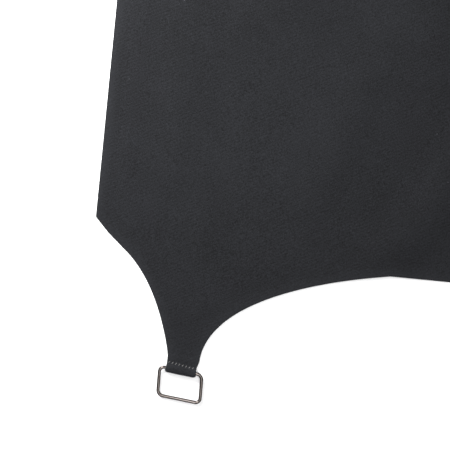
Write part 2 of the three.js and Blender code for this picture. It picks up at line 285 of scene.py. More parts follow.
half = [Vector((0, hem_y))]
hem_corner = 18 * MM
straight(half, Vector((wing_x - hem_corner, hem_y)), 5 * MM)
turned_corner(half, Vector((wing_x - hem_corner, hem_y + hem_corner)), hem_corner, -90, 90, 14)
straight(half, Vector((wing_x, UNDERARM_Y - 24 * MM)), 4 * MM)
straight(half, Vector((wing_x - 11 * MM, UNDERARM_Y - 12.7 * MM)), 2 * MM)
straight(half, Vector((wing_x - 24 * MM, UNDERARM_Y - 1.6 * MM)), 2 * MM)
bezier(half, (0.55, 0.23), (0.13, 0.33), tab_point(-9.5 * MM, TAB_WIDTH / 2 + 0.75 * MM), 70)
straight(half, tab_point(-4.5 * MM, TAB_WIDTH / 2 + 0.3 * MM), 1 * MM)
straight(half, tab_point(tab_end, TAB_WIDTH / 2), 1 * MM)
straight(half, tab_point(tab_end, -TAB_WIDTH / 2), 1 * MM)
straight(half, tab_point(-4.5 * MM, -TAB_WIDTH / 2), 1 * MM)
straight(half, tab_point(-10 * MM, -TAB_WIDTH / 2 - 1 * MM), 1 * MM)
bezier(half, (0.024, 0.652), (0.285, 0.083), Vector((wing_x - 233 * MM, UNDERARM_Y)), 120)
straight(half, Vector((282 * MM, UNDERARM_Y)), 3 * MM)
bezier(half, (0.5, 0), (0.16, 0.6), Vector((bib_x, bib_y)), 130)
straight(half, Vector((0, bib_y)), 4 * MM)
body_outline = half + [Vector((-p.x, p.y)) for p in reversed(half[1:-1])]


def distances(points, outline):
    """The distance of each point from a closed outline."""
    p = np.array([tuple(v) for v in points])
    a = np.array([tuple(v) for v in outline])
    b = np.roll(a, -1, axis=0)
    d = b - a
    best = np.full(len(p), 1e9)
    square = (d * d).sum(1)
    for i in range(len(a)):
        if square[i] < 1e-16:
            continue
        share = np.clip(((p - a[i]) @ d[i]) / square[i], 0, 1)
        off = p - a[i] - share[:, None] * d[i]
        best = np.minimum(best, np.sqrt((off * off).sum(1)))
    return best


def cut_cloth(outline, step, fine=()):
    """A flat piece cut along outline, as a mesh of even triangles with rows that follow its edge.
    fine is (centre, half size, step) of each part that needs closer points."""
    clean = [p for i, p in enumerate(outline) if (p - outline[i - 1]).length > 0.05 * MM]
    area = sum(a.x * b.y - b.x * a.y for a, b in zip(clean, clean[1:] + clean[:1]))
    clean = clean if area > 0 else clean[::-1]
    rows, count = [], len(clean)
    for inset in (0.8 * MM, 2 * MM, 4 * MM, 6.5 * MM, 9.5 * MM):
        row = []
        for i in range(0, count, 1 if inset < 4 * MM else 2):
            way = (clean[(i + 1) % count] - clean[i - 1]).normalized()
            row.append(clean[i] + inset * Vector((-way.y, way.x)))
        away = distances(row, clean)
        rows += [p for p, d in zip(row, away) if d > 0.93 * inset]
    low = Vector((min(p.x for p in clean), min(p.y for p in clean)))
    high = Vector((max(p.x for p in clean), max(p.y for p in clean)))
    grid = []

    def lattice(lo, hi, pitch, skip):
        ny, nx = int((hi.y - lo.y) / (pitch * 0.866)), int((hi.x - lo.x) / pitch)
        for j in range(ny + 1):
            for i in range(nx + 1):
                p = Vector((lo.x + (i + 0.5 * (j % 2)) * pitch, lo.y + j * pitch * 0.866))
                reach = pitch / 2
                if not any(abs(p.x - c.x) < h + reach and abs(p.y - c.y) < h + reach for c, h, _ in skip):
                    grid.append(p)

    lattice(low, high, step, fine)
    for centre, size, pitch in fine:
        lattice(centre - Vector((size, size)), centre + Vector((size, size)), pitch, ())
    edge = np.array([tuple(p) for p in clean])
    inside = distances(grid, clean)
    kept = []
    for p, d in zip(grid, inside):
        crossings = (edge[:, 1] > p.y) != (np.roll(edge[:, 1], -1) > p.y)
        x1, y1 = edge[crossings, 0], edge[crossings, 1]
        x2, y2 = np.roll(edge[:, 0], -1)[crossings], np.roll(edge[:, 1], -1)[crossings]
        close = next((pitch for c, h, pitch in fine if abs(p.x - c.x) < h and abs(p.y - c.y) < h), step)
        within = (x1 + (p.y - y1) / (y2 - y1) * (x2 - x1) > p.x).sum() % 2
        if within and d > min(9.5 * MM + 0.5 * close, 1.2 * close):
            kept.append(p)
    points = clean + rows + kept
    around = [(i, (i + 1) % count) for i in range(count)]
    verts, _, faces, _, _, _ = geometry.delaunay_2d_cdt(points, around, [], 1, 1e-7)
    mesh = bpy.data.meshes.new("cut_cloth")
    mesh.from_pydata([(v.x, v.y, 0) for v in verts], [], faces)
    paler_edge = mesh.attributes.new("edge", "FLOAT", "POINT")
    paler_edge.data.foreach_set("value", distances(verts, clean).astype("f"))
    return mesh


def dress(name, mesh, material, thickness, rounding):
    """A piece made of a cloth mesh that is in its place. It gets its thickness and soft cut edges."""
    piece = link_object(name, mesh, material)
    mesh.name = name
    for polygon in mesh.polygons:
        polygon.use_smooth = True
    wall = piece.modifiers.new("cloth_thickness", "SOLIDIFY")
    wall.thickness = thickness
    wall.offset = 0
    edge = piece.modifiers.new("soft_edge", "BEVEL")
    edge.width = rounding
    edge.segments = 2
    edge.limit_method = "ANGLE"
    edge.angle_limit = math.radians(50)
    return piece


def twill(name, dark, light, paler_edge):
    """Cotton twill, piece-dyed: matt, with fine slanting wales, slubs, a little lint and paler edges:
    rub wear right at the cut, and a painted highlight of the turned hem out to 8 mm.
    The real wales are about 0.9 mm apart. They are drawn a little coarser so that they show."""
    material, tree, shader = new_material(name)
    place = add_node(tree, "TexCoord").outputs["Object"]
    slant = add_node(tree, "Mapping", {"Vector": place, "Rotation": (0, 0, math.radians(63))})
    wobble = add_node(tree, "TexNoise", {"Vector": place, "Scale": 240.0, "Detail": 2.0})
    wales = add_node(
        tree,
        "TexWave",
        {
            "Vector": slant,
            "Scale": 0.314 / (1.25 * MM) / 2,
            "Distortion": 1.4,
            "Detail": 1.0,
            "Detail Scale": 2.0,
        },
        wave_profile="SIN",
    )
    slubs = add_node(tree, "Mapping", {"Vector": place, "Scale": (1900, 800, 1900)})
    yarn = add_node(tree, "TexNoise", {"Vector": slubs, "Scale": 1.0, "Detail": 3.0})
    weft = add_node(tree, "Mapping", {"Vector": place, "Scale": (800, 1900, 1900)})
    yarn_across = add_node(tree, "TexNoise", {"Vector": weft, "Scale": 1.0, "Detail": 3.0})
    both = add_node(tree, "Math", {0: yarn.outputs["Fac"], 1: yarn_across.outputs["Fac"]}, operation="ADD")
    dye = add_node(tree, "TexNoise", {"Vector": place, "Scale": 7.0, "Detail": 3.0, "Roughness": 0.6})
    weave = add_node(tree, "Math", {0: wales.outputs["Fac"], 1: 0.07}, operation="MULTIPLY")
    tone = add_node(tree, "Math", {0: both, 1: 1.0, 2: weave}, operation="MULTIPLY_ADD")
    wash = add_node(tree, "TexNoise", {"Vector": place, "Scale": 42.0, "Detail": 2.0})
    tone = add_node(tree, "Math", {0: wash.outputs["Fac"], 1: 0.14, 2: tone}, operation="MULTIPLY_ADD")
    tone = add_node(tree, "Math", {0: dye.outputs["Fac"], 1: 0.3, 2: tone}, operation="MULTIPLY_ADD")
    tone = add_node(tree, "MapRange", {"Value": tone, "From Min": 1.0, "From Max": 1.52})
    cloth = add_node(tree, "Mix", {0: tone, 6: linear(dark), 7: linear(light)}, data_type="RGBA")
    edge = add_node(tree, "Attribute", attribute_name="edge")
    # Painted highlight: the cloth is paler out to 8 mm from its cut edge, for the light that the turned hem
    # catches. Right at the cut, the paler tone is also rub wear.
    edge_paling = add_node(
        tree,
        "MapRange",
        {
            "Value": edge.outputs["Fac"],
            "From Min": 1.2 * MM,
            "From Max": 8 * MM,
            "To Min": 0.22,
            "To Max": 0.0,
        },
    )
    edge_paled = add_node(tree, "Mix", {0: edge_paling, 6: cloth.outputs[2], 7: linear(paler_edge)}, data_type="RGBA")
    specks = add_node(tree, "TexVoronoi", {"Vector": place, "Scale": 150.0})
    fluff = add_node(tree, "TexNoise", {"Vector": place, "Scale": 31.0, "Detail": 1.0})
    few = add_node(tree, "Math", {0: fluff.outputs["Fac"], 1: 0.66}, operation="GREATER_THAN")
    small = add_node(tree, "Math", {0: specks.outputs["Distance"], 1: 0.06}, operation="LESS_THAN")
    lint = add_node(tree, "Math", {0: few, 1: small}, operation="MULTIPLY")
    linty = add_node(tree, "Mix", {0: lint, 6: edge_paled.outputs[2], 7: linear("#3d3d41")}, data_type="RGBA")
    relief = add_node(tree, "Math", {0: wales.outputs["Fac"], 1: 0.3, 2: both}, operation="MULTIPLY_ADD")
    bump = add_node(tree, "Bump", {"Height": relief, "Strength": 0.6, "Distance": 0.2 * MM})
    tree.links.new(wobble.outputs["Fac"], wales.inputs["Phase Offset"])
    feed(tree, shader, {"Base Color": linty.outputs[2], "Normal": bump, "Roughness": 0.93})
    feed(tree, shader, {"Specular IOR Level": 0.18, "Sheen Weight": 0.35, "Sheen Roughness": 0.45})
    feed(tree, shader, {"Sheen Tint": linear("#b6bac6")})
    return material


# The last colour is the paler edge: rub wear at the cut and a painted highlight of the turned hem.
body_twill = twill("charcoal_cotton_twill", "#070708", "#1d1e21", "#28292c")


def ramp(value, start, end):
    """0 before start, 1 after end, and a smooth slope between them."""
    share = min(max((value - start) / (end - start), 0), 1)
    return share * share * (3 - 2 * share)


def lay_body(x, y, edge):
    """The body cloth's middle surface over the flat pattern's point (x, y), edge metres inside its outline.
    The outline's narrow hem is turned under, so it stands a little higher, and its edge is rounded."""
    side = 1 if x > 0 else -1
    from_wire = Vector((abs(x), y, 0)) - Vector((ring_hinge.x, ring_hinge.y, 0))
    cut, across = from_wire.dot(tab_axis), from_wire.dot(wire_axis)
    if cut > fold_start and abs(across) < 20 * MM:
        along, height = along_fold(cut)
        from_side = TAB_WIDTH / 2 - abs(across)
        if cut > tab_end - 9.5 * MM:
            across *= 0.975
        if cut > -3 * MM:
            round_off = max(0, 1 - from_side / (2.2 * MM)) ** 2
            along -= 0.9 * MM * round_off * ramp(along, 0.2 * MM, 2 * MM)
            across *= 1 + 0.03 * ramp(along, -2.5 * MM, 0)
        if height > 0.9 * MM:
            height -= 0.25 * MM * max(0, 1 - from_side / (1.6 * MM)) ** 2
        else:
            height += 0.3 * MM * ramp(from_side, 0, 2.4 * MM) * ramp(-cut, 11 * MM, 16 * MM)
        laid = Vector((ring_hinge.x, ring_hinge.y, 0)) + tab_axis * along + wire_axis * across
        return Vector((side * laid.x, laid.y, height))
    hem = 0.3 * MM * ramp(edge, 0, 2.4 * MM) * (1 - 0.8 * ramp(edge, 6.6 * MM, 9.4 * MM))
    settled = 0.25 + 0.75 * ramp(edge, 0, 30 * MM)
    return Vector((x, y, CLOTH / 2 + hem + drape(x, y) * settled))


tab_fine = [(Vector((s * ring_hinge.x, ring_hinge.y)), 26 * MM, 1.6 * MM) for s in (1, -1)]
body_mesh = cut_cloth(body_outline, 7 * MM, tab_fine)
for vertex, paler_edge in zip(body_mesh.vertices, body_mesh.attributes["edge"].data):
    vertex.co = lay_body(vertex.co.x, vertex.co.y, paler_edge.value)
body_cloth = dress("body_cloth", body_mesh, body_twill, CLOTH, 0.3 * MM)
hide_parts("body_panel")
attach(body_cloth, "root")
sides = zip(body_outline, body_outline[1:] + body_outline[:1])
pattern_area = abs(sum(a.x * b.y - b.x * a.y for a, b in sides)) / 2

# ---- Tab stitching ----
# A row of grey zigzag stitches closes each tab's fold next to the ring's wire.
# It is spun polyester thread, sewn through all the layers, and only its slanting strokes show on top.

THREAD = 0.25 * MM


def polyester_thread(name, colour):
    """Spun polyester sewing thread: a soft gloss, with the twist of its plies as fine slanting lines."""
    material, tree, shader = new_material(name)
    place = add_node(tree, "TexCoord").outputs["Object"]
    twist = add_node(tree, "Mapping", {"Vector": place, "Rotation": (0, 0, 0.8)})
    plies = add_node(tree, "TexWave", {"Vector": twist, "Scale": 420.0, "Distortion": 1.0})
    fade = add_node(tree, "TexNoise", {"Vector": place, "Scale": 300.0, "Detail": 2.0})
    dull = [c * 0.62 for c in linear(colour)[:3]] + [1]
    blend = add_node(tree, "Mix", {0: fade.outputs["Fac"], 6: dull, 7: linear(colour)}, data_type="RGBA")
    bump = add_node(tree, "Bump", {"Height": plies.outputs["Fac"], "Strength": 0.4, "Distance": 0.05 * MM})
    feed(tree, shader, {"Base Color": blend.outputs[2], "Normal": bump, "Roughness": 0.55})
    feed(tree, shader, {"Sheen Weight": 0.2})
    return material


def sew(name, stitches, material, thick=THREAD):
    """Stitches as one piece of thread. Each stitch is (start, end), and dips into the cloth at both ends."""
    bm = bmesh.new()
    for start, end in stitches:
        way = end - start
        turn = way.to_track_quat("X", "Z").to_matrix().to_4x4()
        size = Matrix.Diagonal((way.length / 2, thick, thick * 0.8, 1))
        middle = (start + end) / 2
        place = Matrix.Translation(middle) @ turn @ size
        bmesh.ops.create_icosphere(bm, subdivisions=1, radius=1, matrix=place)
    for face in bm.faces:
        face.smooth = True
    mesh = bpy.data.meshes.new(name)
    bm.to_mesh(mesh)
    bm.free()
    thread = link_object(name, mesh, material)
    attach(thread, "root")
    return thread


grey_thread = polyester_thread("grey_polyester_thread", "#6f6e6d")
charcoal_thread = polyester_thread("charcoal_polyester_thread", "#5a5a5f")
for side, label in ((1, "right"), (-1, "left")):
    zigzag = []
    for i in range(8):
        across = (i - 3.5) * 2.72 * MM + 0.8 * MM
        cut = -4.35 * MM - 0.06 * across
        points = []
        for step in (-1, 1):
            spot = ring_hinge + tab_axis * (cut + 0.95 * MM * -step) + wire_axis * (across - 0.62 * MM * step)
            height = along_fold(cut - 0.95 * MM * step)[1] + CLOTH / 2 + 0.14 * MM
            points.append(Vector((side * spot.x, spot.y, height)))
        zigzag.append(tuple(points))
    sew(f"tab_zigzag_{label}", zigzag, grey_thread, 0.27 * MM)

# ---- Wire rings ----
# A rectangle bent from 2.5 mm steel wire, a little out of square, and plated with dark nickel.
# Its butt joint is inside the tab's fold, and it turns there.


def nickel_plate(name, colour):
    """Dark nickel plate, polished: mirror-like, brownish black, with a little tarnish and small scuffs."""
    material, tree, shader = new_material(name)
    place = add_node(tree, "TexCoord").outputs["Object"]
    scuffs = add_node(tree, "TexNoise", {"Vector": place, "Scale": 700.0, "Detail": 4.0})
    tarnish = add_node(tree, "TexNoise", {"Vector": place, "Scale": 160.0, "Detail": 3.0})
    warm = [c * k for c, k in zip(linear(colour)[:3], (0.7, 0.66, 0.63))] + [1]
    blend = add_node(tree, "Mix", {0: tarnish.outputs["Fac"], 6: warm, 7: linear(colour)}, data_type="RGBA")
    gloss = add_node(tree, "MapRange", {"Value": scuffs.outputs["Fac"], "To Min": 0.06, "To Max": 0.2})
    bump = add_node(
        tree, "Bump", {"Height": scuffs.outputs["Fac"], "Strength": 0.08, "Distance": 0.02 * MM}
    )
    feed(tree, shader, {"Base Color": blend.outputs[2], "Roughness": gloss, "Normal": bump})
    feed(tree, shader, {"Metallic": 1.0, "Specular Tint": (0.0, 0.0, 0.0, 1)})
    return material


WIRE = 1.25 * MM
ring_nickel = nickel_plate("warm_nickel_plate", "#5b5654")
ring_width, ring_height = 33.5 * MM, 22.2 * MM
near_bar = ring_hinge - tab_axis * 0.3 * MM
ring_corner = 3.9 * MM
fall = ring_hinge.z - WIRE
far_bar = tab_axis * math.sqrt(ring_height**2 - fall**2) - Vector((0, 0, fall))
far_bar -= wire_axis * ring_height * math.tan(math.radians(7))
for side, label in ((1, "right"), (-1, "left")):
    corners = [near_bar + wire_axis * ring_width / 2, near_bar + wire_axis * ring_width / 2 + far_bar]
    corners += [near_bar - wire_axis * ring_width / 2 + far_bar, near_bar - wire_axis * ring_width / 2]
    route = []
    for i, corner in enumerate(corners):
        before, after = corners[i - 1], corners[(i + 1) % 4]
        entry = corner + (before - corner).normalized() * ring_corner
        leave = corner + (after - corner).normalized() * ring_corner
        pull_in, pull_out = entry.lerp(corner, 0.55), leave.lerp(corner, 0.55)
        bend = geometry.interpolate_bezier(entry, pull_in, pull_out, leave, 12)
        route += [p.copy() for p in bend]
    joint = wire_axis * 0.2 * MM
    route = [near_bar + joint] + route + [near_bar - joint]
    line = bpy.data.curves.new(f"ring_{label}", "CURVE")
    line.dimensions = "3D"
    line.bevel_depth = WIRE
    line.bevel_resolution = 7
    line.use_fill_caps = True
    spline = line.splines.new("POLY")
    spline.points.add(len(route) - 1)
    for point, p in zip(spline.points, route):
        point.co = (side * p.x, p.y, p.z, 1)
    spline.use_smooth = True
    ring = bpy.data.objects.new(f"wire_ring_{label}", line)
    bpy.context.scene.collection.objects.link(ring)
    line.materials.append(ring_nickel)
    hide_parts(f"ring_{label}")
    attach(ring, f"ring_{label}")

# ---- Pockets ----
# Patch pockets of the same twill: one on the bib for pencils, two on the skirt, and one for brushes on
# the right skirt pocket. Each has a hem turned in along its mouth, and two rows of stitching round its
# other sides.


def cut_panel(name, across, along):
    """A flat grid with its columns at the distances across and its rows at the distances along."""
    bm = bmesh.new()
    columns, rows = len(across) - 1, len(along) - 1
    made = bmesh.ops.create_grid(bm, x_segments=columns, y_segments=rows, size=1)
    for vertex in made["verts"]:
        i, j = round((vertex.co.x + 1) / 2 * columns), round((vertex.co.y + 1) / 2 * rows)
        vertex.co = (across[i], along[j], 0)
    cut = bm.loops.layers.uv.new("cut")
    for face in bm.faces:
        for loop in face.loops:
            loop[cut].uv = loop.vert.co.xy
    mesh = bpy.data.meshes.new(name)
    bm.to_mesh(mesh)
    bm.free()
    mesh.attributes.new("edge", "FLOAT", "POINT")
    return mesh


def spread(start, end, step):
    count = max(1, math.ceil((end - start) / step - 1e-6))
    return [start + (end - start) * i / count for i in range(count + 1)]


def body_top(x, y):
    """The height of the body cloth's upper face."""
    return drape(x, y) + CLOTH + 0.09 * MM


MOUTH_ROLL = 0.46 * MM
# The last colour is the paler edge: rub wear at the cut and a painted highlight of the turned hem.
pocket_twill = twill("charcoal_pocket_twill", "#09090a", "#202124", "#2c2d30")


class Pocket:
    """A patch pocket that lies on the surface under. lines are the middles of its inner stitch lines."""

    def __init__(self, name, x, top, width, height, corner, under, hem=18 * MM, fullness=2.4 * MM, lines=()):
        self.x, self.top, self.width, self.height, self.corner = x, top, width, height, corner
        self.under, self.hem, self.fullness, self.lines = under, hem, fullness, lines
        self.name = name
        half = width / 2
        sides = [-half + d * MM for d in (0, 0.7, 1.6, 3, 5, 8)]
        stops = sorted(set(spread(-half + 8 * MM, half - 8 * MM, 5.5 * MM)))
        for line in lines:
            stops = [s for s in stops if abs(s - line) > 3.4 * MM] + [line - 1.8 * MM, line, line + 1.8 * MM]
        columns = sides + sorted(stops)[1:-1] + [-s for s in reversed(sides)]
        roll = math.pi * MOUTH_ROLL
        rows = [d * MM for d in (0, 0.7, 1.6, 3, 5, 8)] + spread(8 * MM, height - hem - 4 * MM, 5.5 * MM)[1:]
        rows += spread(height - hem - 4 * MM, height - 2 * MM, 2.5 * MM)[1:] + [height - 0.8 * MM]
        rows += [height - MOUTH_ROLL + roll * i / 5 for i in range(6)]
        rows += spread(height - MOUTH_ROLL + roll, height - MOUTH_ROLL + roll + hem - 1 * MM, 4 * MM)[1:]
        mesh = cut_panel(name, columns, rows)
        for vertex, paler_edge in zip(mesh.vertices, mesh.attributes["edge"].data):
            vertex.co, paler_edge.value = self.lay(vertex.co.x, vertex.co.y)
        piece = dress(name + "_sewn", mesh, pocket_twill, CLOTH, 0.28 * MM)
        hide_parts(name)
        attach(piece, "root")

    def half_at(self, up):
        """Half of the pocket's width, up metres above its bottom edge."""
        if up >= self.corner:
            return self.width / 2
        return self.width / 2 - self.corner + math.sqrt(max(self.corner**2 - (self.corner - up) ** 2, 0))

    def rise(self, across, up):
        """How far the pocket's middle surface is above the cloth that it is sewn to."""
        share = min(abs(across) / (self.width / 2), 1)
        level = min(up / self.height, 1)
        loose = (1 - share**4) * math.sin(math.pi * min(level * 0.62 + 0.02, 1)) ** 0.8
        gape = (1 - share**2) ** 2 * ramp(level, 0.6, 1) * 0.9
        for line in self.lines:
            held = ramp(abs(across - line), 0.6 * MM, 12 * MM)
            loose, gape = loose * held, gape * held
        side = self.half_at(up) - abs(across)
        loose *= ramp(min(side, up), 5 * MM, 26 * MM)
        gape *= ramp(side, 5 * MM, 26 * MM)
        folded = ramp(up, self.height - self.hem - 3 * MM, self.height - self.hem + 1 * MM)
        seam = 0.4 * MM * ramp(min(side, up), 0, 1.8 * MM)
        return 0.42 * MM + seam + 2 * MOUTH_ROLL * folded + self.fullness * (loose + gape)

    def top_at(self, x, y):
        """The height of the pocket's upper face."""
        up = y - (self.top - self.height)
        return self.under(x, y) + self.rise(x - self.x, up) + CLOTH / 2 + 0.09 * MM

    def lay(self, across, up):
        half = self.half_at(max(up, 0.05 * MM))
        across *= half / (self.width / 2)
        past = up - (self.height - MOUTH_ROLL)
        edge = min(half - abs(across), up, abs(self.height - up) + 0.5 * MM)
        if past <= 0:
            y, drop = self.top - self.height + up, 0
        elif past < math.pi * MOUTH_ROLL:
            y = self.top - MOUTH_ROLL + MOUTH_ROLL * math.sin(past / MOUTH_ROLL)
            drop = MOUTH_ROLL * (1 - math.cos(past / MOUTH_ROLL))
        else:
            y, drop = self.top - MOUTH_ROLL - (past - math.pi * MOUTH_ROLL), 2 * MOUTH_ROLL
        x = self.x + across
        lift = self.rise(across, min(y - self.top + self.height, self.height))
        if drop:
            lift = self.rise(across, self.height - 0.1 * MM if past < 3 * MM else y - self.top + self.height)
        return Vector((x, y, self.under(x, y) + lift - drop)), edge

    def seam(self, inset):
        """The line round the pocket's sides and bottom, inset metres inside them, from mouth to mouth."""
        half, low = self.width / 2 - inset, self.top - self.height + inset
        corner = max(self.corner - inset, 0.5 * MM)
        line = [Vector((self.x - half, self.top - 1 * MM))]
        line.append(Vector((self.x - half, low + corner)))
        turned_corner(line, Vector((self.x - half + corner, low + corner)), corner, 180, 90, 10)
        turned_corner(line, Vector((self.x + half - corner, low + corner)), corner, 270, 90, 10)
        line.append(Vector((self.x + half, self.top - 1 * MM)))
        return line


def run_stitches(line, surface, length=2.5 * MM, gap=0.7 * MM):
    """Stitches of even length along line, on surface."""
    steps = [0.0]
    for a, b in zip(line, line[1:]):
        steps.append(steps[-1] + (b - a).length)
    count = max(1, round(steps[-1] / (length + gap)))
    pitch = steps[-1] / count

    def at(distance):
        for i, end in enumerate(steps[1:]):
            if distance <= end and end > steps[i]:
                p = line[i].lerp(line[i + 1], (distance - steps[i]) / (end - steps[i]))
                return Vector((p.x, p.y, surface(p.x, p.y)))
        return Vector((line[-1].x, line[-1].y, surface(line[-1].x, line[-1].y)))

    return [(at(i * pitch + gap / 2), at((i + 1) * pitch - gap / 2)) for i in range(count)]


def bar_tack(start, end, surface, width=2 * MM, count=15):
    """A tight zigzag from start to end, which stops a seam's end from tearing out."""
    way = (end - start).normalized()
    off = Vector((-way.y, way.x)) * width / 2
    spots = [start.lerp(end, i / count) + (off if i % 2 else -off) for i in range(count + 1)]
    spots = [Vector((p.x, p.y, surface(p.x, p.y) + 0.1 * MM)) for p in spots]
    return list(zip(spots, spots[1:]))


def pocket_from(name, corner, under, **more):
    low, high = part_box(name)
    return Pocket(name, (low.x + high.x) / 2, high.y, high.x - low.x, high.y - low.y, corner, under, **more)


pencil_lines = (24 * MM, 48 * MM)
chest = pocket_from("chest_pocket", 12 * MM, body_top, fullness=1.9 * MM, lines=pencil_lines)
hip_left = pocket_from("hip_pocket_left", 30 * MM, body_top)
hip_right = pocket_from("hip_pocket_right", 30 * MM, body_top)
brush_lines = (-12.7 * MM, 12.7 * MM)
brush = pocket_from("brush_pocket", 8 * MM, hip_right.top_at, fullness=1.6 * MM, lines=brush_lines)

for pocket in (chest, hip_left, hip_right, brush):
    on_top = pocket.top_at
    thread = run_stitches(pocket.seam(2 * MM), on_top) + run_stitches(pocket.seam(8 * MM), on_top)
    low, mouth = pocket.top - pocket.height, pocket.top
    half = pocket.width / 2
    hem_line = [Vector((pocket.x + end, mouth - 16 * MM)) for end in (8 * MM - half, half - 8 * MM)]
    thread += run_stitches(hem_line, on_top)
    for line in pocket.lines:
        x = pocket.x + line
        thread += run_stitches([Vector((x, low + 8 * MM)), Vector((x, mouth - 1 * MM))], on_top)
        thread += bar_tack(Vector((x, mouth - 9 * MM)), Vector((x, mouth - 1 * MM)), on_top)
    for side in (-1, 1):
        x = pocket.x + side * (half - 5 * MM)
        thread += bar_tack(Vector((x - 3 * MM, mouth - 3 * MM)), Vector((x + 3 * MM, mouth - 3 * MM)), on_top)
        thread += bar_tack(Vector((x, mouth - 14 * MM)), Vector((x, mouth - 4 * MM)), on_top)
    sew(pocket.name + "_stitching", thread, charcoal_thread, 0.22 * MM)

# ---- Label ----
# A small blank label woven from warm grey polyester yarn.
# Its ends are folded under and sewn to the left skirt pocket.

label_low, label_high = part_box("label_patch")


def damask(name, colour, shade):
    """Woven polyester damask: fine ribs across the ribbon, a satin gloss and a darker woven border."""
    material, tree, shader = new_material(name)
    cut = add_node(tree, "UVMap", uv_map="cut").outputs["UV"]
    apart = add_node(tree, "SeparateXYZ", {0: cut})
    # The ribs are 0.5 mm apart, about twice the real spacing, so that they show.
    ribs = add_node(tree, "TexWave", {"Vector": cut, "Scale": 0.314 / (0.5 * MM) / 2}, bands_direction="Y")
    yarn = add_node(tree, "TexNoise", {"Vector": cut, "Scale": 2500.0, "Detail": 2.0})
    tone = add_node(
        tree, "Math", {0: ribs.outputs["Fac"], 1: 0.5, 2: yarn.outputs["Fac"]}, operation="MULTIPLY_ADD"
    )
    tone = add_node(tree, "MapRange", {"Value": tone, "From Min": 0.3, "From Max": 1.1})
    weave = add_node(tree, "Mix", {0: tone, 6: linear(shade), 7: linear(colour)}, data_type="RGBA")
    out_x = add_node(tree, "Math", {0: apart.outputs["X"]}, operation="ABSOLUTE")
    out_y = add_node(tree, "Math", {0: apart.outputs["Y"]}, operation="ABSOLUTE")
    band_y = add_node(tree, "Math", {0: out_y, 1: 7.4 * MM, 2: 0.35 * MM}, operation="COMPARE")
    band_x = add_node(tree, "Math", {0: out_x, 1: 19.4 * MM, 2: 0.35 * MM}, operation="COMPARE")
    band = add_node(tree, "Math", {0: band_x, 1: band_y}, operation="MAXIMUM")
    border = add_node(tree, "Math", {0: band, 1: 0.45}, operation="MULTIPLY")
    edged = add_node(tree, "Mix", {0: border, 6: weave.outputs[2], 7: linear("#3b3936")}, data_type="RGBA")
    bump = add_node(tree, "Bump", {"Height": ribs.outputs["Fac"], "Strength": 0.4, "Distance": 0.06 * MM})
    feed(tree, shader, {"Base Color": edged.outputs[2], "Normal": bump, "Roughness": 0.6})
    feed(tree, shader, {"Sheen Weight": 0.25})
    return material


label_width, label_height = label_high.x - label_low.x, label_high.y - label_low.y
label_middle = (label_low + label_high) / 2
label_rows = spread(-label_height / 2, label_height / 2, 1.6 * MM)
label_mesh = cut_panel("label", spread(-label_width / 2, label_width / 2, 1.6 * MM), label_rows)


def label_puff(x, y):
    """How far the label's middle stands up, x and y metres from its middle."""
    return 0.5 * MM * math.cos(math.pi * x / label_width) * math.cos(math.pi * y / label_height) ** 0.5


for vertex in label_mesh.vertices:
    x, y = vertex.co.x, vertex.co.y
    from_end = label_width / 2 - abs(x)
    ply = 0.3 * MM * (1 - ramp(from_end, 5 * MM, 6.5 * MM)) + 0.12 * MM * ramp(from_end, 0, 1 * MM)
    place = label_middle + Vector((x, y, 0))
    vertex.co = (place.x, place.y, 0)
    vertex.co.z = hip_left.top_at(place.x, place.y) + 0.2 * MM + ply + label_puff(x, y)
label_damask = damask("warm_grey_damask", "#b3aa9b", "#8d8578")
label = dress("label_patch_sewn", label_mesh, label_damask, 0.5 * MM, 0.15 * MM)
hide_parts("label_patch")
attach(label, "root")


def label_top(x, y):
    off = Vector((x, y)) - label_middle.to_2d()
    ply = 0.42 * MM if label_width / 2 - abs(off.x) < 5 * MM else 0.12 * MM
    return hip_left.top_at(x, y) + 0.5 * MM + ply + label_puff(off.x, off.y)


label_thread = []
for side in (-1, 1):
    x = label_middle.x + side * (label_width / 2 - 1.8 * MM)
    reach = label_height / 2 - 1.2 * MM
    ends = [Vector((x, label_middle.y + end)) for end in (-reach, reach)]
    label_thread += run_stitches(ends, label_top, 1.9 * MM, 0.6 * MM)
sew("label_stitching", label_thread, polyester_thread("oat_polyester_thread", "#a79d8c"), 0.18 * MM)

# ---- Webbing straps ----
# Two shoulder straps of 30 mm herringbone cotton webbing, each 909 mm long from its sewn foot to its end.
# They cross above the bib and lie loose. Each free end is folded back on itself and stitched.

WEBBING = 1.4 * MM


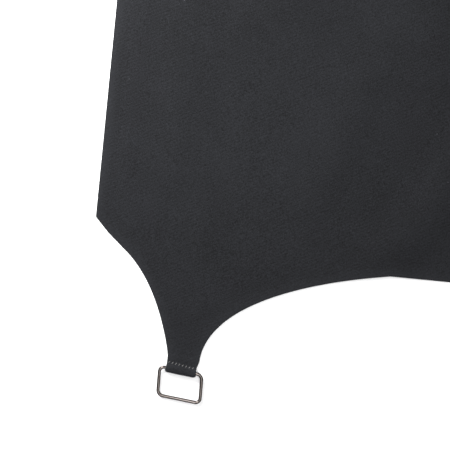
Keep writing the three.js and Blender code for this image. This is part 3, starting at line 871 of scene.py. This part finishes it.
def herringbone(name, dark, light):
    """Herringbone cotton webbing: rows of slanting yarn that turn every 7.5 mm, with paler selvedges."""
    material, tree, shader = new_material(name)
    cut = add_node(tree, "UVMap", uv_map="cut").outputs["UV"]
    apart = add_node(tree, "SeparateXYZ", {0: cut})
    turn = add_node(tree, "Math", {0: apart.outputs["X"], 1: 7.5 * MM}, operation="PINGPONG")
    slant = add_node(tree, "Math", {0: apart.outputs["Y"], 1: turn}, operation="ADD")
    # A yarn is 1.4 mm wide here, and about 1 mm on real webbing.
    phase = add_node(tree, "Math", {0: slant, 1: 2 * math.pi / (1.4 * MM)}, operation="MULTIPLY")
    yarn = add_node(tree, "Math", {0: phase}, operation="SINE")
    yarn = add_node(tree, "MapRange", {"Value": yarn, "From Min": -1.0, "From Max": 1.0})
    cross = add_node(
        tree, "Math", {0: apart.outputs["X"], 1: 2 * math.pi / (0.9 * MM)}, operation="MULTIPLY"
    )
    warp = add_node(tree, "Math", {0: cross}, operation="SINE")
    hair = add_node(tree, "TexNoise", {"Vector": cut, "Scale": 1400.0, "Detail": 3.0})
    dye = add_node(tree, "TexNoise", {"Vector": cut, "Scale": 30.0, "Detail": 2.0})
    mixed = add_node(tree, "Math", {0: yarn, 1: 0.55, 2: hair.outputs["Fac"]}, operation="MULTIPLY_ADD")
    mixed = add_node(tree, "Math", {0: warp, 1: 0.08, 2: mixed}, operation="MULTIPLY_ADD")
    mixed = add_node(tree, "Math", {0: dye.outputs["Fac"], 1: 0.3, 2: mixed}, operation="MULTIPLY_ADD")
    tone = add_node(tree, "MapRange", {"Value": mixed, "From Min": 0.4, "From Max": 1.35})
    weave = add_node(tree, "Mix", {0: tone, 6: linear(dark), 7: linear(light)}, data_type="RGBA")
    edge = add_node(tree, "Attribute", attribute_name="edge")
    edge_paling = add_node(
        tree,
        "MapRange",
        {"Value": edge.outputs["Fac"], "From Min": 0.0, "From Max": 1.6 * MM, "To Min": 0.4, "To Max": 0.0},
    )
    edge_paled = add_node(tree, "Mix", {0: edge_paling, 6: weave.outputs[2], 7: linear("#55555a")}, data_type="RGBA")
    relief = add_node(tree, "Math", {0: warp, 1: 0.25, 2: yarn}, operation="MULTIPLY_ADD")
    bump = add_node(tree, "Bump", {"Height": relief, "Strength": 0.6, "Distance": 0.22 * MM})
    feed(tree, shader, {"Base Color": edge_paled.outputs[2], "Normal": bump, "Roughness": 0.88})
    feed(tree, shader, {"Specular IOR Level": 0.25, "Sheen Weight": 0.25})
    return material


webbing_weave = herringbone("charcoal_herringbone_webbing", "#1d1d1f", "#37373b")
strap_foot = Vector((bib_x - 20 * MM, bib_y - 48 * MM))
RISE_ANGLE, RISE, BEND_RADIUS, END_ANGLE, END = 125, 300 * MM, 160 * MM, 250, 260 * MM
bend_end = RISE + BEND_RADIUS * math.radians(END_ANGLE - RISE_ANGLE)
strap_length = bend_end + END
slide_middle = bend_end + END / 2
slant = math.radians(180 - RISE_ANGLE)
crossing = strap_foot.x / math.cos(slant)
END_FOLD, END_ROLL = 22 * MM, 0.8 * MM


def heading(degrees):
    return Vector((math.cos(math.radians(degrees)), math.sin(math.radians(degrees))))


def strap_plan(s):
    """The right strap's middle line in plan and its direction, s metres from its sewn end."""
    point = strap_foot + heading(RISE_ANGLE) * min(s, RISE)
    if s <= RISE:
        return point, heading(RISE_ANGLE)
    centre = point + heading(RISE_ANGLE + 90) * BEND_RADIUS
    turned = RISE_ANGLE + math.degrees(min(s, bend_end) - RISE) / BEND_RADIUS
    point = centre + heading(turned - 90) * BEND_RADIUS
    return point + heading(END_ANGLE) * max(s - bend_end, 0), heading(turned)


def plateau(s, middle, half):
    return ramp(half + 24 * MM - abs(s - middle), 0, 24 * MM)


def strap_lift(s, over):
    """How far the strap is lifted off the table: on the bib, over the other strap and in the slider."""
    on_bib = 1.1 * MM * plateau(s, 0, 72 * MM)
    on_strap = 1.7 * MM * plateau(s, crossing, 24.5 * MM) if over else 0
    on_slider = 1.5 * MM * plateau(s, slide_middle, 94 * MM)
    slack = 0.9 * MM * ramp(s, 330 * MM, 400 * MM) * (1 - ramp(s, 590 * MM, 650 * MM))
    return on_bib + on_strap + on_slider + slack * (0.5 + 0.5 * math.sin(s / MM / 31))


def lay_strap(side, over, across, s):
    fold = s - strap_length
    roll = END_ROLL
    if fold <= 0:
        plan, way = strap_plan(s)
        z = WEBBING / 2 + strap_lift(s, over)
    else:
        plan, way = strap_plan(strap_length)
        angle = min(fold / roll, math.pi)
        plan = plan + way * (roll * math.sin(angle) - max(fold - math.pi * roll, 0))
        z = WEBBING / 2 + roll * (1 - math.cos(angle))
    off = Vector((-way.y, way.x)) * across
    return Vector((side * (plan.x + off.x), plan.y + off.y, z))


def even_stitches(a, b, gap, at):
    """Stitches 3.1 mm apart from a to b on webbing, with gap, a share of that, bare at both their ends."""
    count = max(1, round(math.dist(a, b) / (3.1 * MM)))
    ends = [((i + gap) / count, (i + 1 - gap) / count) for i in range(count)]
    return [tuple(at(*(a[k] + (b[k] - a[k]) * t for k in (0, 1))) for t in pair) for pair in ends]


def strap_thread(side, over):
    """The box and cross at a strap's foot, and the two rows that close its folded end."""
    flat = WEBBING / 2 + 0.04 * MM
    box = [(-11.5 * MM, 4 * MM), (11.5 * MM, 4 * MM), (11.5 * MM, 28 * MM), (-11.5 * MM, 28 * MM)]
    lines = [(a, b, flat) for a, b in zip(box, box[1:] + box[:1])]
    lines += [(box[0], box[2], flat), (box[1], box[3], flat)]
    for inset in (5 * MM, 18.5 * MM):
        s = strap_length - inset
        lines.append(((-12.5 * MM, s), (12.5 * MM, s), flat + 1.6 * MM))
    thread = []
    for a, b, rise in lines:
        thread += even_stitches(
            a, b, 0.35 / 3.1, lambda across, s: lay_strap(side, over, across, s) + Vector((0, 0, rise))
        )
    return thread


strap_columns = [d * MM for d in (-15, -14.2, -12.8, -8.5, -3, 3, 8.5, 12.8, 14.2, 15)]
fold_end = strap_length + math.pi * END_ROLL
strap_rows = spread(0, strap_length, 4.5 * MM) + spread(strap_length, fold_end, math.pi * END_ROLL / 6)[1:]
strap_rows += spread(fold_end, strap_length + END_FOLD, 5 * MM)[1:]
for side, label, over in ((1, "right", False), (-1, "left", True)):
    mesh = cut_panel(f"strap_{label}", strap_columns, strap_rows)
    for vertex, paler_edge in zip(mesh.vertices, mesh.attributes["edge"].data):
        across, s = vertex.co.x, vertex.co.y
        paler_edge.value = min(15 * MM - abs(across), s, strap_length + END_FOLD - s)
        vertex.co = lay_strap(side, over, across, s)
    if side == -1:
        mesh.flip_normals()
    strap = dress(f"strap_{label}_sewn", mesh, webbing_weave, WEBBING - 0.05 * MM, 0.45 * MM)
    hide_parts(f"strap_{label}")
    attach(strap, "root")
    sew(f"strap_stitching_{label}", strap_thread(side, over), charcoal_thread, 0.24 * MM)

# ---- Sliders ----
# A dark nickel-plated slider on each strap, to set its length.
# A stamped frame lies over the webbing, and a bar between its two blocks passes under it.

SLIDER_LENGTH, OPENING, RAIL, BAR, PLATE = 22 * MM, 31.2 * MM, 3 * MM, 4 * MM, 1.2 * MM
FRAME_LOW = 3.2 * MM


def bevel(bm, geom, offset, segments, affect="EDGES"):
    options = {"offset_type": "OFFSET", "profile": 0.5, "material": -1}
    bmesh.ops.bevel(bm, geom=geom, offset=offset, segments=segments, affect=affect, **options)


def rounded_loop(bm, length, width, radius):
    """A loop of edges round a rectangle with round corners."""
    made = bmesh.ops.create_grid(bm, x_segments=1, y_segments=1, size=0.5)
    verts = made["verts"]
    bmesh.ops.scale(bm, verts=verts, vec=(length, width, 1))
    faces = [f for f in bm.faces if all(v in verts for v in f.verts)]
    bmesh.ops.delete(bm, geom=faces, context="FACES_ONLY")
    bevel(bm, verts, radius, 7, "VERTICES")


def slider_mesh(name, side):
    bm = bmesh.new()
    rounded_loop(bm, SLIDER_LENGTH, OPENING + 2 * RAIL, 3 * MM)
    rounded_loop(bm, SLIDER_LENGTH - 2 * BAR, OPENING, 1.5 * MM)
    bmesh.ops.bridge_loops(bm, edges=bm.edges[:])
    up = bmesh.ops.extrude_face_region(bm, geom=bm.faces[:])
    upper = [v for v in up["geom"] if isinstance(v, bmesh.types.BMVert)]
    bmesh.ops.translate(bm, verts=upper, vec=(0, 0, PLATE))
    bmesh.ops.recalc_face_normals(bm, faces=bm.faces)
    sharp = [e for e in bm.edges if len(e.link_faces) == 2 and e.calc_face_angle() > math.radians(60)]
    bevel(bm, sharp, 0.38 * MM, 3)
    bmesh.ops.translate(bm, verts=bm.verts, vec=(0, 0, FRAME_LOW))
    blocks = [((BAR, OPENING + 2 * RAIL - 0.6 * MM, PLATE), (0, 0, PLATE / 2))]
    tall = FRAME_LOW + PLATE / 2
    blocks += [((8 * MM, RAIL - 0.5 * MM, tall), (0, s * (OPENING + RAIL) / 2, tall / 2)) for s in (-1, 1)]
    for size, middle in blocks:
        block = bmesh.ops.create_cube(bm, size=1)["verts"]
        bmesh.ops.scale(bm, verts=block, vec=size)
        bmesh.ops.translate(bm, verts=block, vec=middle)
        edges = list({e for v in block for e in v.link_edges})
        bevel(bm, edges, 0.4 * MM, 3)
    plan, way = strap_plan(slide_middle)
    lie = Matrix.Translation((plan.x, plan.y, 0)) @ Matrix.Rotation(math.atan2(way.y, way.x), 4, "Z")
    bmesh.ops.transform(bm, matrix=Matrix.Scale(side, 4, (1, 0, 0)) @ lie, verts=bm.verts)
    bmesh.ops.recalc_face_normals(bm, faces=bm.faces)
    for face in bm.faces:
        face.smooth = True
    mesh = bpy.data.meshes.new(name)
    bm.to_mesh(mesh)
    bm.free()
    mesh.set_sharp_from_angle(angle=math.radians(50))
    return mesh


for side, label in ((1, "right"), (-1, "left")):
    slider = link_object(f"slider_frame_{label}", slider_mesh(f"slider_frame_{label}", side), ring_nickel)
    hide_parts(f"slider_{label}")
    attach(slider, f"slider_{label}")

# ---- Towel loop ----
# A short length of 25 mm webbing beside the left skirt pocket, to hang a towel from.
# It arches between two feet, each sewn down with a box and cross.

loop_low, loop_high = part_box("towel_loop")
loop_x, loop_top = (loop_low.x + loop_high.x) / 2, loop_high.y
LOOP_LENGTH, LOOP_FOOT, LOOP_RISE = loop_high.y - loop_low.y, 16 * MM, 9.6 * MM
loop_half_width = (loop_high.x - loop_low.x) / 2


def loop_rise(down):
    """How far the loop's webbing is lifted, down metres from its upper end."""
    free = LOOP_LENGTH - 2 * LOOP_FOOT
    share = min(max((down - LOOP_FOOT) / free, 0), 1)
    return LOOP_RISE * math.sin(math.pi * share) ** 1.6


def loop_at(across, down, rise=0.0):
    x, y = loop_x + across, loop_top - down
    flat = body_top(loop_x, y) * 0.5 + body_top(x, y) * 0.5
    return Vector((x, y, flat + WEBBING / 2 + loop_rise(down) + rise))


loop_columns = [d * loop_half_width for d in (-1, -0.94, -0.84, -0.5, 0, 0.5, 0.84, 0.94, 1)]
loop_mesh = cut_panel("towel_loop", loop_columns, spread(0, LOOP_LENGTH, 2.5 * MM))
for vertex, paler_edge in zip(loop_mesh.vertices, loop_mesh.attributes["edge"].data):
    across, down = vertex.co.x, vertex.co.y
    paler_edge.value = min(loop_half_width - abs(across), down, LOOP_LENGTH - down)
    vertex.co = loop_at(across, down)
loop_mesh.flip_normals()
loop = dress("towel_loop_sewn", loop_mesh, webbing_weave, WEBBING - 0.05 * MM, 0.45 * MM)
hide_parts("towel_loop")
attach(loop, "root")
thread = []
for start in (2.5 * MM, LOOP_LENGTH - LOOP_FOOT + 1.5 * MM):
    end = start + 12 * MM
    side = loop_half_width - 2.6 * MM
    box = [(-side, start), (side, start), (side, end), (-side, end)]
    runs = list(zip(box, box[1:] + box[:1])) + [(box[0], box[2]), (box[1], box[3])]
    for a, b in runs:
        thread += even_stitches(a, b, 0.12, lambda x, down: loop_at(x, down, WEBBING / 2 + 0.04 * MM))
sew("towel_loop_stitching", thread, charcoal_thread, 0.24 * MM)
